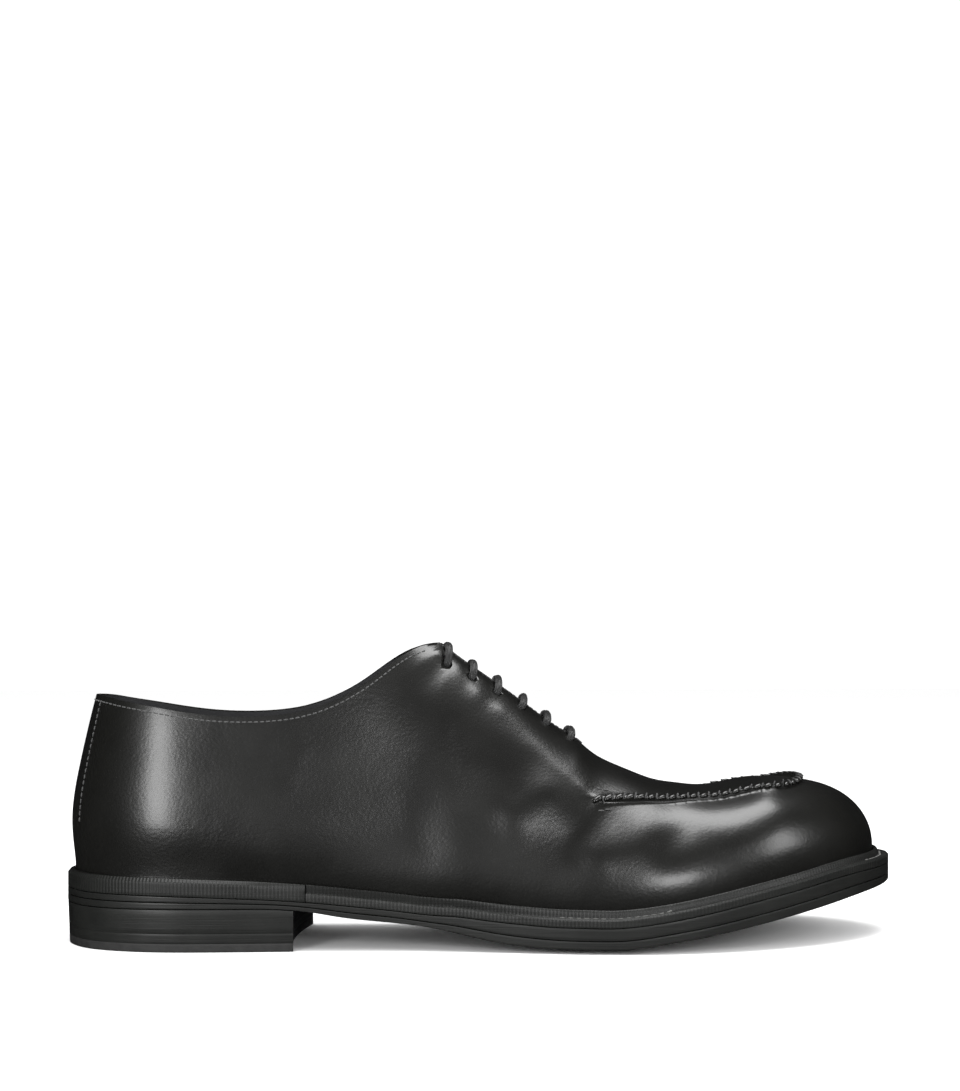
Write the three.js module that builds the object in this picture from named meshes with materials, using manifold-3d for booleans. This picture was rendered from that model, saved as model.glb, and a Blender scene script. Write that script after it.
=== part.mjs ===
// Oxford shoe: one right shoe, welted, with a hand sewn apron and six straight bars of lace.
// Millimetres. +X points to the toe, -Y is the outer (lateral) side, +Z is up.
// The origin is on the floor, in the middle of the sole's length and width.

import * as THREE from 'three';
import Module from 'manifold-3d';

const wasm = await Module();
wasm.setup();
const { clamp, lerp, smoothstep } = THREE.MathUtils;

// Sole, from above
const length = 306;
const ballWidth = 108;
const weltMargin = 6;

// Sole, from the side
const toeSpring = 18.5;
const waistHeight = 15.2;
const edgeRoll = 1.6;
const contactInset = 9;
const outsoleShare = 0.52;
const weltThickness = 3;
const lipHeight = 3;
const grooveDepth = 0.5;
const edgeBevel = 0.6;
const seatHeight = 20.4;
const toeSeatHeight = 26;
const ballSeatHeight = 9.1;
const jointShare = 0.245;

// Heel
const topliftThickness = 3;
const topPieceThickness = 3.5;
const breastLateral = 82.2;
const breastSkew = 7;
const breastHollow = 3;
const breastHalfShare = 0.32;
const heelTaper = 0.6;

// Upper
const wall = 2.4;
const instepHeight = 109.6;
const toeHeight = 57.4;
const heelTopHeight = 132;
const collarBack = 89.4;
const collarLow = 82;
const heelPole = 38;
const toePoleInset = 53;
const toePole = length - toePoleInset;
const seatBulge = 3;
const bulgeHeight = 28;

// Lacing slit, from the highest point of the instep down
const instepShare = 0.435;
const slitTop = instepShare * length;
const slitGap = 5;
const slitTaper = 0.35;
const eyeletCount = 6;
const eyeletInset = 4.5;
const eyeletPitch = 9.1;
const eyeletSide = 10.5;
const eyeletDiameter = 3.6;
const slitTail = 5;
const firstEyelet = slitTop + eyeletInset;
const slitBottom = firstEyelet + (eyeletCount - 1) * eyeletPitch + slitTail;

// Apron ridge
const apronGap = 2;
const apronStart = slitBottom + apronGap;
const apronHalfWidth = 30.5;
const apronReach = 17;
const apronCorner = 2;
const ridgeHeight = 1.5;
const ridgeWidth = 3.4;

// Lace, tongue and insole
const laceDiameter = 2.4;
const laceGap = 0.35;
const laceBend = 1.6;
const tongueThickness = 2;
const tongueHalfWidth = 21;
const tongueNarrowing = 0.4;
const tongueRise = 5;
const tongueTail = 10;
const insoleThickness = 3.2;

// Clearances between curved neighbours
const gap = 0.3;
const insoleGap = 0.5;
const tongueGap = 0.8;

// Sole outline: at is a share of the length, the half widths and the margin are shares of
// the ball width, the margin and the lip of the welt's
const outlineRows = [
  { at: 0.02, lateral: 0.167, medial: 0.167 },
  { at: 0.05, lateral: 0.243, medial: 0.241 },
  { at: 0.11, lateral: 0.306, medial: 0.296 },
  { at: 0.2, lateral: 0.322, medial: 0.312 },
  { at: 0.3, lateral: 0.326, medial: 0.3 },
  { at: 0.4, lateral: 0.346, medial: 0.278 },
  { at: 0.5, lateral: 0.398, medial: 0.308 },
  { at: 0.6, lateral: 0.458, medial: 0.396 },
  { at: 0.66, lateral: 0.478, medial: 0.458 },
  { at: 0.72, lateral: 0.474, medial: 0.498 },
  { at: 0.8, lateral: 0.428, medial: 0.494 },
  { at: 0.88, lateral: 0.333, medial: 0.438 },
  { at: 0.94, lateral: 0.215, medial: 0.355 },
  { at: 0.98, lateral: 0.09, medial: 0.236 },
];
const tipOffset = 0.074;

const marginRows = [
  { at: 0, margin: 0.5, lip: 1 },
  { at: 0.25, margin: 0.5, lip: 1 },
  { at: 0.42, margin: 0.72, lip: 0.95 },
  { at: 0.6, margin: 1, lip: 0.9 },
  { at: 0.74, margin: 0.93, lip: 0.75 },
  { at: 0.86, margin: 0.87, lip: 0.66 },
  { at: 0.94, margin: 0.92, lip: 0.66 },
  { at: 1, margin: 1.08, lip: 0.7 },
];

// Sole from the side: waist and spring are shares of the waist height and the toe spring,
// roll is a share of the edge roll
const rockerRows = [
  { at: 0, waist: 1, spring: 0, roll: 0 },
  { at: 0.25, waist: 1, spring: 0, roll: 0 },
  { at: 0.27, waist: 0.98, spring: 0, roll: 0 },
  { at: 0.31, waist: 0.8, spring: 0, roll: 0.13 },
  { at: 0.35, waist: 0.7, spring: 0, roll: 0.17 },
  { at: 0.39, waist: 0.62, spring: 0, roll: 0.28 },
  { at: 0.43, waist: 0.495, spring: 0, roll: 0.46 },
  { at: 0.47, waist: 0.305, spring: 0, roll: 0.62 },
  { at: 0.51, waist: 0.133, spring: 0, roll: 0.75 },
  { at: 0.545, waist: 0.045, spring: 0, roll: 0.88 },
  { at: 0.59, waist: 0, spring: 0, roll: 1 },
  { at: 0.645, waist: 0, spring: 0, roll: 1 },
  { at: 0.69, waist: 0, spring: 0.115, roll: 1 },
  { at: 0.73, waist: 0, spring: 0.2, roll: 1 },
  { at: 0.79, waist: 0, spring: 0.375, roll: 1 },
  { at: 0.85, waist: 0, spring: 0.56, roll: 1 },
  { at: 0.89, waist: 0, spring: 0.69, roll: 0.9 },
  { at: 0.93, waist: 0, spring: 0.825, roll: 0.8 },
  { at: 1, waist: 0, spring: 1, roll: 0.7 },
];

// Top of the midsole: shares of the heel seat, the ball seat and the toe seat
const seatRows = [
  { at: 0, heel: 1, ball: 0, toe: 0 },
  { at: 0.1, heel: 0.98, ball: 0, toe: 0 },
  { at: 0.18, heel: 0.941, ball: 0, toe: 0 },
  { at: 0.24, heel: 0.9, ball: 0, toe: 0 },
  { at: 0.3, heel: 0.833, ball: 0, toe: 0 },
  { at: 0.35, heel: 0.755, ball: 0, toe: 0 },
  { at: 0.408, heel: 0.66, ball: 0, toe: 0 },
  { at: 0.465, heel: 0.25, ball: 0.79, toe: 0 },
  { at: 0.523, heel: 0.07, ball: 0.98, toe: 0 },
  { at: 0.58, heel: 0, ball: 1.03, toe: 0 },
  { at: 0.63, heel: 0, ball: 1, toe: 0 },
  { at: 0.66, heel: 0, ball: 0.95, toe: 0.05 },
  { at: 0.7, heel: 0, ball: 0.8, toe: 0.17 },
  { at: 0.74, heel: 0, ball: 0.6, toe: 0.323 },
  { at: 0.8, heel: 0, ball: 0.32, toe: 0.565 },
  { at: 0.86, heel: 0, ball: 0.14, toe: 0.76 },
  { at: 0.93, heel: 0, ball: 0.03, toe: 0.942 },
  { at: 1, heel: 0, ball: 0, toe: 1 },
];

// Last: ridge heights as shares of the heel top, the instep and the toe height, and the spine
// as a share of the ball width
const lastRows = [
  { at: 0, heel: 1, instep: 0, toe: 0, spine: 0 },
  { at: 0.12, heel: 1, instep: 0, toe: 0, spine: 0 },
  { at: 0.22, heel: 1.02, instep: 0, toe: 0, spine: 0 },
  { at: 0.32, heel: 0.7, instep: 0.36, toe: 0, spine: -0.01 },
  { at: 0.37, heel: 0.25, instep: 0.83, toe: 0, spine: -0.012 },
  { at: instepShare, heel: 0, instep: 1, toe: 0, spine: -0.015 },
  { at: 0.465, heel: 0, instep: 0.943, toe: 0, spine: -0.012 },
  { at: 0.52, heel: 0, instep: 0.836, toe: 0, spine: 0 },
  { at: 0.58, heel: 0, instep: 0.712, toe: 0, spine: 0.02 },
  { at: 0.625, heel: 0, instep: 0.623, toe: 0, spine: 0.035 },
  { at: 0.655, heel: 0, instep: 0.3, toe: 0.526, spine: 0.045 },
  { at: 0.685, heel: 0, instep: 0.06, toe: 0.918, spine: 0.055 },
  { at: 0.72, heel: 0, instep: 0, toe: 0.972, spine: 0.062 },
  { at: 0.775, heel: 0, instep: 0, toe: 0.935, spine: 0.07 },
  { at: 0.83, heel: 0, instep: 0, toe: 1, spine: 0.074 },
  { at: 1, heel: 0, instep: 0, toe: 1, spine: 0.074 },
];

// Sections of the last: across and up are exponents, bulge is a share of the seat bulge, peak
// a share of the bulge height, and a higher focus keeps the bulge closer to its peak
const sectionRows = [
  { at: 0, across: 2, up: 2, bulge: 0.83, peak: 1, focus: 4 },
  { at: 0.13, across: 2, up: 2, bulge: 0.83, peak: 1, focus: 4 },
  { at: 0.22, across: 2, up: 2, bulge: 0.95, peak: 0.8, focus: 2.8 },
  { at: 0.32, across: 2, up: 1.95, bulge: 1.3, peak: 0.55, focus: 1.7 },
  { at: 0.435, across: 2, up: 1.9, bulge: 1.4, peak: 0.5, focus: 1.5 },
  { at: 0.52, across: 2.05, up: 1.9, bulge: 1.1, peak: 0.5, focus: 1.5 },
  { at: 0.58, across: 2.15, up: 1.95, bulge: 0.9, peak: 0.5, focus: 1.5 },
  { at: 0.625, across: 2.25, up: 2, bulge: 0.8, peak: 0.5, focus: 1.5 },
  { at: 0.685, across: 2.5, up: 2.15, bulge: 0.7, peak: 0.5, focus: 1.5 },
  { at: 0.72, across: 2.7, up: 2.25, bulge: 0.65, peak: 0.5, focus: 1.5 },
  { at: 0.775, across: 3, up: 2.4, bulge: 0.55, peak: 0.5, focus: 1.5 },
  { at: 0.83, across: 3.2, up: 2.4, bulge: 0.5, peak: 0.5, focus: 1.5 },
  { at: 1, across: 3.2, up: 2.4, bulge: 0.5, peak: 0.5, focus: 1.5 },
];

// Collar edge: shares of the back height, the low point and the instep height
const collarRows = [
  { at: 0, back: 1.005, low: 0, instep: 0 },
  { at: 0.04, back: 0.99, low: 0, instep: 0 },
  { at: 0.1, back: 0.4, low: 0.61, instep: 0 },
  { at: 0.15, back: 0.08, low: 0.93, instep: 0 },
  { at: 0.2, back: 0, low: 1, instep: 0 },
  { at: 0.24, back: 0, low: 1.003, instep: 0 },
  { at: 0.28, back: 0, low: 1.023, instep: 0 },
  { at: 0.316, back: 0, low: 0.8, instep: 0.2 },
  { at: 0.345, back: 0, low: 0.4, instep: 0.542 },
  { at: 0.375, back: 0, low: 0, instep: 0.905 },
  { at: 0.4, back: 0, low: 0, instep: 0.953 },
  { at: 0.42, back: 0, low: 0, instep: 0.982 },
  { at: instepShare, back: 0, low: 0, instep: 0.993 },
  { at: 0.45, back: 0, low: 0, instep: 1.005 },
  { at: 1, back: 0, low: 0, instep: 1.005 },
];

// Apron: half widths from the spine as shares of the apron's half width
const apronRows = [
  { at: 0.61, half: 1.12 },
  { at: 0.65, half: 1.1 },
  { at: 0.68, half: 1.06 },
  { at: 0.72, half: 0.97 },
  { at: 0.76, half: 0.87 },
  { at: 0.825, half: 0.79 },
  { at: 1, half: 0.79 },
];

// Smooth curves through the tables

function columnCurve(rows, column) {
  const at = rows.map((row) => row.at);
  const value = rows.map((row) => row[column]);
  const last = rows.length - 1;
  const slope = at.slice(1).map((next, i) => (value[i + 1] - value[i]) / (next - at[i]));
  const tangent = value.map((_, i) => {
    if (i === 0) return slope[0];
    if (i === last) return slope[last - 1];
    const product = slope[i - 1] * slope[i];
    return product > 0 ? (2 * product) / (slope[i - 1] + slope[i]) : 0;
  });
  return (share) => {
    const s = clamp(share, at[0], at[last]);
    let i = 0;
    while (i < last - 1 && s > at[i + 1]) i += 1;
    const span = at[i + 1] - at[i];
    const t = (s - at[i]) / span;
    const rise = value[i + 1] - value[i];
    const a = span * tangent[i] - rise;
    const b = rise - span * tangent[i + 1];
    return value[i] + t * rise + t * (1 - t) * ((1 - t) * a + t * b);
  };
}

function blendedHeight(rows, sizes) {
  const curves = Object.keys(sizes).map((column) => columnCurve(rows, column));
  const values = Object.values(sizes);
  return (share) => curves.reduce((sum, curve, i) => sum + values[i] * curve(share), 0);
}

const soleBottom = blendedHeight(rockerRows, { waist: waistHeight, spring: toeSpring });
const rollShare = columnCurve(rockerRows, 'roll');
const marginShare = columnCurve(marginRows, 'margin');
const lipShare = columnCurve(marginRows, 'lip');
const seat = blendedHeight(seatRows, {
  heel: seatHeight,
  ball: ballSeatHeight,
  toe: toeSeatHeight,
});
const ridge = blendedHeight(lastRows, {
  heel: heelTopHeight,
  instep: instepHeight,
  toe: toeHeight,
});
const collar = blendedHeight(collarRows, {
  back: collarBack,
  low: collarLow,
  instep: instepHeight,
});
const spineShare = columnCurve(lastRows, 'spine');
const [acrossExponent, upExponent, bulgeShare, peakShare, focusExponent] = [
  'across',
  'up',
  'bulge',
  'peak',
  'focus',
].map((column) => columnCurve(sectionRows, column));
const apronShare = columnCurve(apronRows, 'half');

// Sole outline, with the same stations on both sides

const outline = new THREE.CatmullRomCurve3(
  [
    new THREE.Vector3(0, 0, 0),
    ...outlineRows.map((row) => new THREE.Vector3(row.at * length, -row.lateral * ballWidth, 0)),
    new THREE.Vector3(length, tipOffset * ballWidth, 0),
    ...outlineRows
      .toReversed()
      .map((row) => new THREE.Vector3(row.at * length, row.medial * ballWidth, 0)),
  ],
  true,
  'centripetal',
);
const bisections = 40;
const tipParameter = (outlineRows.length + 1) / (2 * outlineRows.length + 2);

function outlinePoint(along, side) {
  let low = side < 0 ? 0 : 1;
  let high = tipParameter;
  for (let i = 0; i < bisections; i += 1) {
    const middle = (low + high) / 2;
    if (outline.getPoint(middle).x < along) low = middle;
    else high = middle;
  }
  const parameter = (low + high) / 2;
  const point = outline.getPoint(parameter);
  const tangent = outline.getTangent(parameter);
  return { x: point.x, y: point.y, nx: tangent.y, ny: -tangent.x };
}

const halfPitch = eyeletPitch / 2;
const throatStart = firstEyelet - halfPitch / 2;
const throatCells = 2 * eyeletCount - 1;
const throatEnd = throatStart + throatCells * halfPitch;
const heelStations = 16;
const toeStations = 17;
const nearTip = 1e-4;
const easing = 0.8 * Math.PI;
const eased = (t) => (1 - Math.cos(easing * t)) / (1 - Math.cos(easing));

const stations = [
  ...Array.from({ length: heelStations }, (_, i) => throatStart * eased(i / heelStations)),
  ...Array.from({ length: throatCells }, (_, i) => throatStart + i * halfPitch),
  ...Array.from(
    { length: toeStations + 1 },
    (_, i) => length - (length - throatEnd) * eased(1 - i / toeStations),
  ),
];
const tipIndex = stations.length - 1;
const ringSize = 2 * tipIndex;

const outlineRing = Array.from({ length: ringSize }, (_, i) => {
  const station = stations[Math.min(i, ringSize - i)];
  const along = clamp(station, nearTip, length - nearTip);
  if (i === 0) return { x: 0, y: 0, nx: -1, ny: 0 };
  if (i === tipIndex) return { x: length, y: tipOffset * ballWidth, nx: 1, ny: 0 };
  return outlinePoint(along, i < tipIndex ? -1 : 1);
});

const sides = outlineRing.map((p) => p.y);
const sideMiddle = (Math.min(...sides) + Math.max(...sides)) / 2;
const share = (x) => x / length;
const insetPoint = (p, inset) => ({ x: p.x - p.nx * inset, y: p.y - p.ny * inset });
const margin = (x) => weltMargin * marginShare(share(x));
const lip = (x) => lipHeight * lipShare(share(x));
const outsoleTop = (x) => {
  const bottom = soleBottom(share(x));
  return bottom + outsoleShare * (seat(share(x)) - bottom);
};

// Solids from rings and grids

function solid(points, faces) {
  const geometry = new THREE.BufferGeometry();
  geometry.setAttribute('position', new THREE.Float32BufferAttribute(points.flat(), 3));
  geometry.setIndex(faces.flat());
  geometry.computeVertexNormals();
  return geometry;
}

const quad = (a, b, c, d) => [a, b, c, a, c, d];

function ringFaces(count, size, closed) {
  const faces = [];
  for (let k = 0; k < (closed ? count : count - 1); k += 1) {
    const low = k * size;
    const high = ((k + 1) % count) * size;
    for (let i = 0; i < size; i += 1) {
      const j = (i + 1) % size;
      faces.push(quad(low + i, low + j, high + j, high + i));
    }
  }
  return faces;
}

function stripCap(start, size, up) {
  const faces = [];
  const half = size / 2;
  for (let i = 0; i < half; i += 1) {
    const a = start + i;
    const b = start + i + 1;
    const c = start + size - i - 1;
    const d = start + ((size - i) % size);
    const corners = [a, b, c, d].filter((corner, k, all) => all.indexOf(corner) === k);
    const strip = corners.length === 3 ? corners : quad(...corners);
    faces.push(up ? strip : strip.toReversed());
  }
  return faces;
}

function stackedRings(rings, cap = stripCap) {
  const size = rings[0].length;
  const top = (rings.length - 1) * size;
  return solid(rings.flat(), [
    ...ringFaces(rings.length, size, false),
    ...cap(0, size, false),
    ...cap(top, size, true),
  ]);
}

function soleRing(inset, height) {
  return outlineRing.map((p) => {
    const q = insetPoint(p, typeof inset === 'function' ? inset(p.x) : inset);
    return [q.x, q.y, height(q.x, p.x)];
  });
}

// Soles

const outsole = stackedRings([
  soleRing(contactInset, (x) => soleBottom(share(x))),
  soleRing(0, (x) => soleBottom(share(x)) + edgeRoll * rollShare(share(x))),
  soleRing(0, (x) => outsoleTop(x) - gap),
]);

const midsole = stackedRings([
  soleRing(0, (x) => outsoleTop(x)),
  soleRing(0, (x) => seat(share(x)) - gap),
]);

const insole = stackedRings([
  soleRing((x) => margin(x) + wall + insoleGap, (x) => seat(share(x)) + gap),
  soleRing((x) => margin(x) + wall + insoleGap, (x) => seat(share(x)) + insoleThickness),
]);

// Heel: the sole outline behind a hollow, skewed breast line

const breastSteps = 8;
const cornerSpace = 2;
const refinements = 8;

function heelRing(inset, height) {
  const breastX = (y) => {
    const across = clamp(y / (ballWidth * breastHalfShare), -1, 1);
    return breastLateral + (breastSkew * (across + 1)) / 2;
  };
  const corner = (side) => {
    let along = breastLateral;
    for (let i = 0; i < refinements; i += 1) along = breastX(outlinePoint(along, side).y);
    return outlinePoint(along, side);
  };
  const [lateral, medial] = [-1, 1].map((side) => {
    const end = corner(side);
    const behind = outlineRing.filter((p, i) => {
      const own = side < 0 ? i > 0 && i < tipIndex : i > tipIndex;
      return own && p.x < end.x - cornerSpace;
    });
    return side < 0 ? [...behind, end] : [end, ...behind];
  });
  const count = Math.min(lateral.length, medial.length);
  const rim = [outlineRing[0], ...lateral.slice(-count)].map((p) => insetPoint(p, inset));
  const back = medial.slice(0, count).map((p) => insetPoint(p, inset));
  const from = rim.at(-1);
  const to = back[0];
  const breast = Array.from({ length: breastSteps - 1 }, (_, i) => {
    const t = (i + 1) / breastSteps;
    return { x: lerp(from.x, to.x, t) - breastHollow * 4 * t * (1 - t), y: lerp(from.y, to.y, t) };
  });
  return [...rim, ...breast, ...back].map((p) => [p.x, p.y, height(p.x)]);
}

// Strips across as far as the last pair of rim points behind the corners. From there the
// two points fan out to the hollow breast, whose last point before the medial corner they share.
function heelCap(start, size, up) {
  const rimCount = (size - breastSteps) / 2;
  const lateral = rimCount - 1;
  const medial = size - lateral;
  const shared = medial - 3;
  const fan = (hub, first, last) =>
    Array.from({ length: last - first }, (_, i) => [hub, first + i, first + i + 1]);
  const front = [
    ...fan(lateral, rimCount, shared),
    [lateral, shared, medial],
    ...fan(medial, shared, medial - 1),
  ].map((face) => face.map((corner) => start + corner));
  const strips = stripCap(start, size, up).filter((face) =>
    face.every((corner) => corner <= start + lateral || corner >= start + medial),
  );
  return [...strips, ...front.map((face) => (up ? face : face.toReversed()))];
}

const level = (height) => () => height;

// Straight between the stations of the outline, as the facets of the sole above it are
function underSole(x) {
  const next = outlineRing.findIndex((p) => p.x > x);
  const [behind, ahead] = [outlineRing[next - 1].x, outlineRing[next].x];
  const along = (x - behind) / (ahead - behind);
  return lerp(soleBottom(share(behind)), soleBottom(share(ahead)), along) - gap;
}

const topPieceTop = topliftThickness + topPieceThickness;
const taperAt = (height) => heelTaper * (1 - height / waistHeight);
const heelLayer = (bottom, top) =>
  stackedRings(
    [heelRing(taperAt(bottom), level(bottom)), heelRing(taperAt(top), level(top))],
    heelCap,
  );
const heelStack = stackedRings(
  [heelRing(taperAt(topPieceTop), level(topPieceTop)), heelRing(0, underSole)],
  heelCap,
);

// Last surface. A column runs from the feather line in to the spine or to a pole.

function columnAt(foot) {
  const x = clamp(foot.x, heelPole, toePole);
  const s = share(x);
  const y = ballWidth * spineShare(s);
  const reach = Math.hypot(foot.x - x, foot.y - y);
  return {
    x,
    y,
    reach,
    dx: (foot.x - x) / reach,
    dy: (foot.y - y) / reach,
    base: seat(share(foot.x)),
    top: ridge(s),
    across: acrossExponent(s),
    up: upExponent(s),
    bulge: seatBulge * bulgeShare(s),
    peak: bulgeHeight * peakShare(s),
    focus: focusExponent(s),
  };
}

const rho = (column, angle) => Math.cos(angle) ** (2 / column.across);

function swell(column, height) {
  const h = height / column.peak;
  return column.bulge * (h * Math.exp(1 - h)) ** column.focus;
}

function surfacePoint(column, angle) {
  const height = (column.top - column.base) * Math.sin(angle) ** (2 / column.up);
  const out = column.reach * rho(column, angle) + swell(column, height);
  return [column.x + column.dx * out, column.y + column.dy * out, column.base + height];
}

function angleAtHeight(column, height) {
  const part = clamp(height / (column.top - column.base), 0, 1);
  return Math.asin(part ** (column.up / 2));
}

const angleAtReach = (column, out) =>
  Math.acos(clamp(out / column.reach, 0, 1) ** (column.across / 2));

const distance = (a, b) => Math.hypot(a[0] - b[0], a[1] - b[1], a[2] - b[2]);

const arcSteps = 80;
const tiny = 1e-9;

function arcTable(column, end) {
  const rows = [{ angle: 0, run: 0 }];
  let before = surfacePoint(column, 0);
  for (let i = 1; i <= arcSteps; i += 1) {
    const angle = (end * i) / arcSteps;
    const point = surfacePoint(column, angle);
    rows.push({ angle, run: rows.at(-1).run + distance(before, point) });
    before = point;
  }
  return rows;
}

function lookUp(table, given, wanted, value) {
  const i = Math.max(1, table.findIndex((row) => row[given] >= value - tiny));
  const [a, b] = [table[i - 1], table[i]];
  return a[wanted] + ((b[wanted] - a[wanted]) * (value - a[given])) / (b[given] - a[given]);
}

const feather = outlineRing.map((p) => insetPoint(p, margin(p.x)));
const columns = feather.map(columnAt);
const mirrorOf = (i) => (ringSize - i) % ringSize;

const slitHalf = (x) => {
  const up = (slitBottom - x) / (slitBottom - slitTop);
  return x >= slitBottom ? 0 : (slitGap / 2) * Math.min(1, slitTaper + (1 - slitTaper) * up);
};

function endAngle(i, column) {
  const x = feather[i].x;
  if (x >= slitBottom) return Math.PI / 2;
  const atCollar = angleAtHeight(column, collar(share(x)) - column.base);
  const atSlit = angleAtReach(column, slitHalf(x));
  return Math.min(atCollar, atSlit);
}

function apronAngle(column) {
  const half = apronHalfWidth * apronShare(share(column.x));
  const forward = Math.abs(column.dx) / apronReach;
  const sideways = Math.abs(column.dy) / half;
  const out = (forward ** apronCorner + sideways ** apronCorner) ** (-1 / apronCorner);
  return angleAtReach(column, out);
}

// Levels up a column: below the apron ridge, across it, then on to the slit or the spine. Beside
// the slit they keep an eyelet inside one cell, and they turn even again past its ends.
const lowLevels = 7;
const crestShares = [0, 0.28, 0.72, 1];
const ridgeLevels = crestShares.length - 1;
const topLevels = 4;
const railLevel = lowLevels + ridgeLevels;
const levelCount = railLevel + topLevels;
const eyeletCell = 2.3;
const turnIn = { from: 16, to: 3 };
const turnOut = { from: 2, to: 20 };
const apronTurn = 4 * halfPitch;
const ridgeRise = { from: -3, to: 1 };

function levelRuns(i, column, table) {
  const x = feather[i].x;
  const { run: total, angle: end } = table.at(-1);
  const even = (step) => (total * step) / levelCount;
  const onApron = smoothstep(x, throatEnd - apronTurn, apronStart);
  const below = smoothstep(x, throatStart - turnIn.from, throatStart - turnIn.to);
  const past = smoothstep(x, throatEnd + turnOut.from, throatEnd + turnOut.to);
  const byLace = below * (1 - past);
  const railAngle = Math.min(apronAngle(column), end);
  const rail = onApron > 0 ? lookUp(table, 'angle', 'run', railAngle) : 0;
  const ridgeStart = lerp(even(lowLevels), rail - ridgeWidth / 2, onApron);
  const ridgeEnd = lerp(even(railLevel), rail + ridgeWidth / 2, onApron);
  const left = total - ridgeEnd;
  const eyelet = total - Math.max(eyeletSide - slitHalf(x), 0);
  return [
    ...Array.from({ length: lowLevels }, (_, step) => (ridgeStart * step) / lowLevels),
    ...crestShares.map((t) => lerp(ridgeStart, ridgeEnd, t)),
    lerp(ridgeEnd + left / topLevels, (ridgeEnd + eyelet - eyeletCell) / 2, byLace),
    lerp(ridgeEnd + (2 * left) / topLevels, eyelet - eyeletCell, byLace),
    lerp(ridgeEnd + (3 * left) / topLevels, eyelet + eyeletCell, byLace),
    total,
  ];
}

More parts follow.
